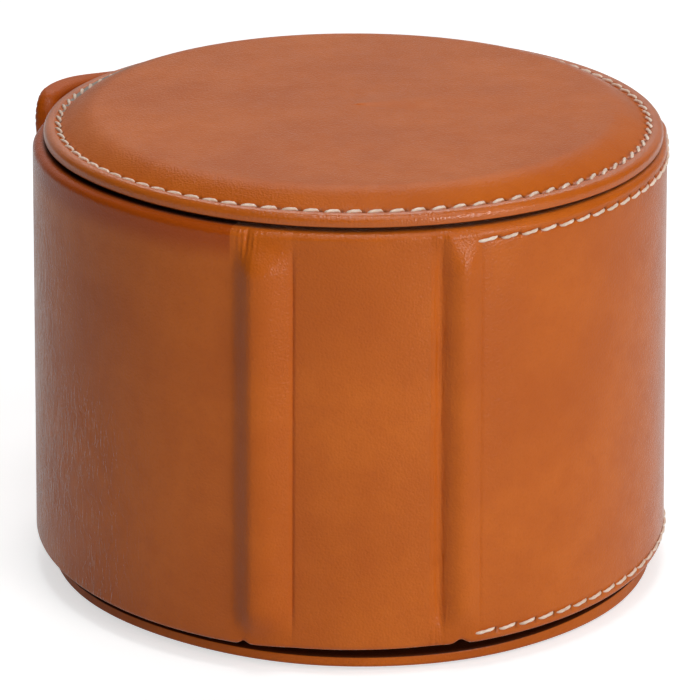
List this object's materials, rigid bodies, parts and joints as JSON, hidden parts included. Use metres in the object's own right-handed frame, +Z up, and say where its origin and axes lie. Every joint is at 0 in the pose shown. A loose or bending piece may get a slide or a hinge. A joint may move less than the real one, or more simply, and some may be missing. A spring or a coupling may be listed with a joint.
{
  "type": "watch roll",
  "caption": "Round leather watch roll: stitched end caps, a hinged wrap-round cover with a magnetic tongue, and a suede cushion inside for a watch.",
  "frame": {"origin": "centre of the bottom cap's flat resting face, on the drum's axis", "axes": "+Z up along the drum's axis, -Y towards the front with the two ribs, +X towards the side where the cover opens"},
  "size_m": [0.1048, 0.1065, 0.0774],
  "materials": {
    "leather": "smooth grain, semi-gloss",
    "thread": "waxed thread",
    "suede": "suede",
    "cushion_suede": "suede",
    "greyboard": "raw board",
    "foam": "open foam",
    "steel": "plated"
  },
  "bodies": {
    "root": {"top_cap_cover": "leather", "bottom_cap_cover": "leather", "top_cap_board": "greyboard", "bottom_cap_board": "greyboard", "top_plug_board": "greyboard", "bottom_plug_board": "greyboard", "top_lining_disc": "suede", "bottom_lining_disc": "suede", "top_cap_stitching": "thread", "bottom_cap_stitching": "thread", "top_cap_padding": "foam", "bottom_cap_padding": "foam", "shell_leather": "leather", "shell_padding": "foam", "shell_board": "greyboard", "shell_lining": "suede", "shell_keeper": "steel", "front_fold": "leather", "front_fold_lining": "suede"},
    "spine": {"spine_leather": "leather", "spine_board": "greyboard", "spine_lining": "suede", "side_fold": "leather", "side_fold_lining": "suede"},
    "flap": {"flap_leather": "leather", "flap_padding": "foam", "flap_board": "greyboard", "flap_lining": "suede", "flap_top_stitching": "thread", "flap_bottom_stitching": "thread"},
    "tongue": {"tongue_leather": "leather", "tongue_lining": "suede", "tongue_stiffener": "greyboard", "tongue_magnet": "steel", "tongue_stitching": "thread"},
    "cushion": {"cushion_sleeve": "cushion_suede", "cushion_core": "foam", "cushion_bottom_end": "cushion_suede", "cushion_top_end": "cushion_suede"}
  },
  "joints": [
    {"name": "flap_swing", "type": "hinge", "parent": "spine", "child": "flap", "pos_m": [0.01564, -0.04812, 0.0385], "axis": [0, 0, -1], "range_deg": [0, 80], "deforming": ["side_fold", "side_fold_lining"]},
    {"name": "spine_swing", "type": "hinge", "parent": "root", "child": "spine", "pos_m": [-0.01378, -0.04869, 0.0385], "axis": [0, 0, -1], "range_deg": [0, 24], "deforming": ["front_fold", "front_fold_lining"]},
    {"name": "tongue_lift", "type": "hinge", "parent": "flap", "child": "tongue", "pos_m": [0.01693, 0.04917, 0.0385], "axis": [0, 0, -1], "range_deg": [0, 92]},
    {"name": "cushion_slide", "type": "slide", "parent": "root", "child": "cushion", "axis": [1, 0, 0], "range_m": [0, 0.085]}
  ],
  "couplings": [
    {"joint": "spine_swing", "follows": "flap_swing", "ratio": 0.3},
    {"joint": "tongue_lift", "follows": "flap_swing", "ratio": 1.15},
    {"joint": "cushion_slide", "follows": "flap_swing", "m_per_rad": 0.06087}
  ]
}
